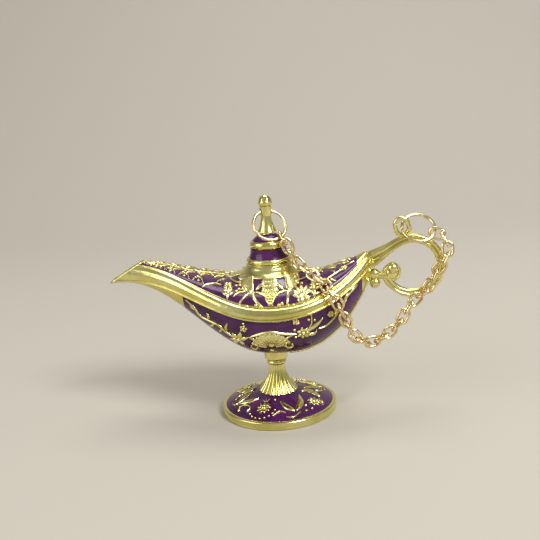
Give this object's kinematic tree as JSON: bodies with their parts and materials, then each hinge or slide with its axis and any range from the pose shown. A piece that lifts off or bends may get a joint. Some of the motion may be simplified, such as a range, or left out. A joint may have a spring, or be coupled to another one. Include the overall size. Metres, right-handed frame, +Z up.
{
  "type": "genie oil lamp",
  "caption": "Small ornamental genie oil lamp on a round foot, with a long spout, a looped handle, a lift-off lid on a fine chain and enamel panels.",
  "frame": {"origin": "centre of the foot's flat underside", "axes": "+Z up, +X towards the handle, -X towards the spout, -Y to the side that the picture shows"},
  "size_m": [0.0873, 0.03, 0.0568],
  "materials": {
    "gold_plated_casting": "polished pale gold plate on a zinc casting",
    "gold_plated_wire": "bright gold-plated wire",
    "purple_enamel": "glossy purple cold enamel",
    "steel_fastener": "plain turned steel"
  },
  "bodies": {
    "lamp": {"foot": "gold_plated_casting", "foot_enamel": "purple_enamel", "stem": "gold_plated_casting", "pedestal_screw": "steel_fastener", "pedestal_washer": "steel_fastener", "bowl": "gold_plated_casting", "bowl_enamel_front": "purple_enamel", "bowl_enamel_back": "purple_enamel", "cover": "gold_plated_casting", "cover_enamel": "purple_enamel", "handle": "gold_plated_casting"},
    "lid_and_finial": {"lid": "gold_plated_casting", "lid_band_enamel": "purple_enamel", "lid_dish_enamel": "purple_enamel", "finial": "gold_plated_casting"},
    "finial_ring": {"finial_ring": "gold_plated_wire"},
    "handle_ring": {"handle_ring": "gold_plated_wire"},
    "chain_links_01_02": {"chain_link_01": "gold_plated_wire", "chain_link_02": "gold_plated_wire"},
    "chain_links_03_04": {"chain_link_03": "gold_plated_wire", "chain_link_04": "gold_plated_wire"},
    "chain_links_05_06": {"chain_link_05": "gold_plated_wire", "chain_link_06": "gold_plated_wire"},
    "chain_links_07_08": {"chain_link_07": "gold_plated_wire", "chain_link_08": "gold_plated_wire"},
    "chain_links_09_10": {"chain_link_09": "gold_plated_wire", "chain_link_10": "gold_plated_wire"},
    "chain_links_11_12": {"chain_link_11": "gold_plated_wire", "chain_link_12": "gold_plated_wire"},
    "chain_links_13_14": {"chain_link_13": "gold_plated_wire", "chain_link_14": "gold_plated_wire"},
    "chain_links_15_16": {"chain_link_15": "gold_plated_wire", "chain_link_16": "gold_plated_wire"},
    "chain_links_17_18": {"chain_link_17": "gold_plated_wire", "chain_link_18": "gold_plated_wire"},
    "chain_links_19_20": {"chain_link_19": "gold_plated_wire", "chain_link_20": "gold_plated_wire"},
    "chain_links_21_22": {"chain_link_21": "gold_plated_wire", "chain_link_22": "gold_plated_wire"},
    "chain_links_23_24": {"chain_link_23": "gold_plated_wire", "chain_link_24": "gold_plated_wire"},
    "chain_links_25_26": {"chain_link_25": "gold_plated_wire", "chain_link_26": "gold_plated_wire"},
    "chain_links_27_28": {"chain_link_27": "gold_plated_wire", "chain_link_28": "gold_plated_wire"},
    "chain_links_29_30": {"chain_link_29": "gold_plated_wire", "chain_link_30": "gold_plated_wire"}
  },
  "joints": [
    {"name": "lid_lift", "type": "slide", "parent": "lamp", "child": "lid_and_finial", "axis": [0, 0, 1], "range_m": [0, 0.008]},
    {"name": "finial_ring_swing", "type": "hinge", "parent": "lid_and_finial", "child": "finial_ring", "pos_m": [0, 0, 0.05275], "axis": [0.9272, 0.3746, 0], "range_deg": [-20, 20]},
    {"name": "handle_ring_swing", "type": "hinge", "parent": "lamp", "child": "handle_ring", "pos_m": [0.03366, 0, 0.04668], "axis": [-0.4695, 0.8829, 0], "range_deg": [-40, 40]},
    {"name": "chain_turn_01", "type": "hinge", "parent": "handle_ring", "child": "chain_links_01_02", "pos_m": [0.04098, -0.00061, 0.04506], "axis": [-0.4695, 0.8829, 0], "range_deg": [-30, 30]},
    {"name": "chain_turn_02", "type": "hinge", "parent": "chain_links_01_02", "child": "chain_links_03_04", "pos_m": [0.04437, -0.00241, 0.0421], "axis": [-0.4695, 0.8829, 0], "range_deg": [-30, 30]},
    {"name": "chain_turn_03", "type": "hinge", "parent": "chain_links_03_04", "child": "chain_links_05_06", "pos_m": [0.0431, -0.0031, 0.03735], "axis": [-0.4695, 0.8829, 0], "range_deg": [-30, 30]},
    {"name": "chain_turn_04", "type": "hinge", "parent": "chain_links_05_06", "child": "chain_links_07_08", "pos_m": [0.04036, -0.00305, 0.03308], "axis": [-0.4695, 0.8829, 0], "range_deg": [-30, 30]},
    {"name": "chain_turn_05", "type": "hinge", "parent": "chain_links_07_08", "child": "chain_links_09_10", "pos_m": [0.03684, -0.00429, 0.02973], "axis": [-0.4695, 0.8829, 0], "range_deg": [-30, 30]},
    {"name": "chain_turn_06", "type": "hinge", "parent": "chain_links_09_10", "child": "chain_links_11_12", "pos_m": [0.0334, -0.00567, 0.02622], "axis": [-0.4695, 0.8829, 0], "range_deg": [-30, 30]},
    {"name": "chain_turn_07", "type": "hinge", "parent": "chain_links_11_12", "child": "chain_links_13_14", "pos_m": [0.03019, -0.00689, 0.0224], "axis": [-0.4695, 0.8829, 0], "range_deg": [-30, 30]},
    {"name": "chain_turn_15", "type": "hinge", "parent": "finial_ring", "child": "chain_links_29_30", "pos_m": [0.00353, -0.00276, 0.04721], "axis": [-0.4695, 0.8829, 0], "range_deg": [-30, 30]},
    {"name": "chain_turn_14", "type": "hinge", "parent": "chain_links_29_30", "child": "chain_links_27_28", "pos_m": [0.00556, -0.00453, 0.04307], "axis": [-0.4695, 0.8829, 0], "range_deg": [-30, 30]},
    {"name": "chain_turn_13", "type": "hinge", "parent": "chain_links_27_28", "child": "chain_links_25_26", "pos_m": [0.0083, -0.00479, 0.0388], "axis": [-0.4695, 0.8829, 0], "range_deg": [-30, 30]},
    {"name": "chain_turn_12", "type": "hinge", "parent": "chain_links_25_26", "child": "chain_links_23_24", "pos_m": [0.01189, -0.00795, 0.03691], "axis": [-0.4695, 0.8829, 0], "range_deg": [-30, 30]},
    {"name": "chain_turn_11", "type": "hinge", "parent": "chain_links_23_24", "child": "chain_links_21_22", "pos_m": [0.01466, -0.01169, 0.03472], "axis": [-0.4695, 0.8829, 0], "range_deg": [-30, 30]},
    {"name": "chain_turn_10", "type": "hinge", "parent": "chain_links_21_22", "child": "chain_links_19_20", "pos_m": [0.01699, -0.01199, 0.0303], "axis": [-0.4695, 0.8829, 0], "range_deg": [-30, 30]},
    {"name": "chain_turn_09", "type": "hinge", "parent": "chain_links_19_20", "child": "chain_links_17_18", "pos_m": [0.01879, -0.01131, 0.02551], "axis": [-0.4695, 0.8829, 0], "range_deg": [-30, 30]},
    {"name": "chain_turn_08", "type": "hinge", "parent": "chain_links_17_18", "child": "chain_links_15_16", "pos_m": [0.02133, -0.01032, 0.02118], "axis": [-0.4695, 0.8829, 0], "range_deg": [-30, 30]}
  ],
  "couplings": [
    {"joint": "finial_ring_swing", "follows": "lid_lift", "rad_per_m": -0.32725},
    {"joint": "handle_ring_swing", "follows": "lid_lift", "rad_per_m": -45.898},
    {"joint": "chain_turn_01", "follows": "lid_lift", "rad_per_m": 4.7346},
    {"joint": "chain_turn_02", "follows": "lid_lift", "rad_per_m": 43.171},
    {"joint": "chain_turn_03", "follows": "lid_lift", "rad_per_m": 14.935},
    {"joint": "chain_turn_04", "follows": "lid_lift", "rad_per_m": 7.3894},
    {"joint": "chain_turn_05", "follows": "lid_lift", "rad_per_m": -1.8783},
    {"joint": "chain_turn_06", "follows": "lid_lift", "rad_per_m": 2.3416},
    {"joint": "chain_turn_07", "follows": "lid_lift", "rad_per_m": 2.3367},
    {"joint": "chain_turn_15", "follows": "lid_lift", "rad_per_m": -20.147},
    {"joint": "chain_turn_14", "follows": "lid_lift", "rad_per_m": 2.5574},
    {"joint": "chain_turn_13", "follows": "lid_lift", "rad_per_m": 9.5913},
    {"joint": "chain_turn_12", "follows": "lid_lift", "rad_per_m": 12.27},
    {"joint": "chain_turn_11", "follows": "lid_lift", "rad_per_m": 13.957},
    {"joint": "chain_turn_10", "follows": "lid_lift", "rad_per_m": 9.2006},
    {"joint": "chain_turn_09", "follows": "lid_lift", "rad_per_m": 2.2054},
    {"joint": "chain_turn_08", "follows": "lid_lift", "rad_per_m": -8.0638}
  ]
}
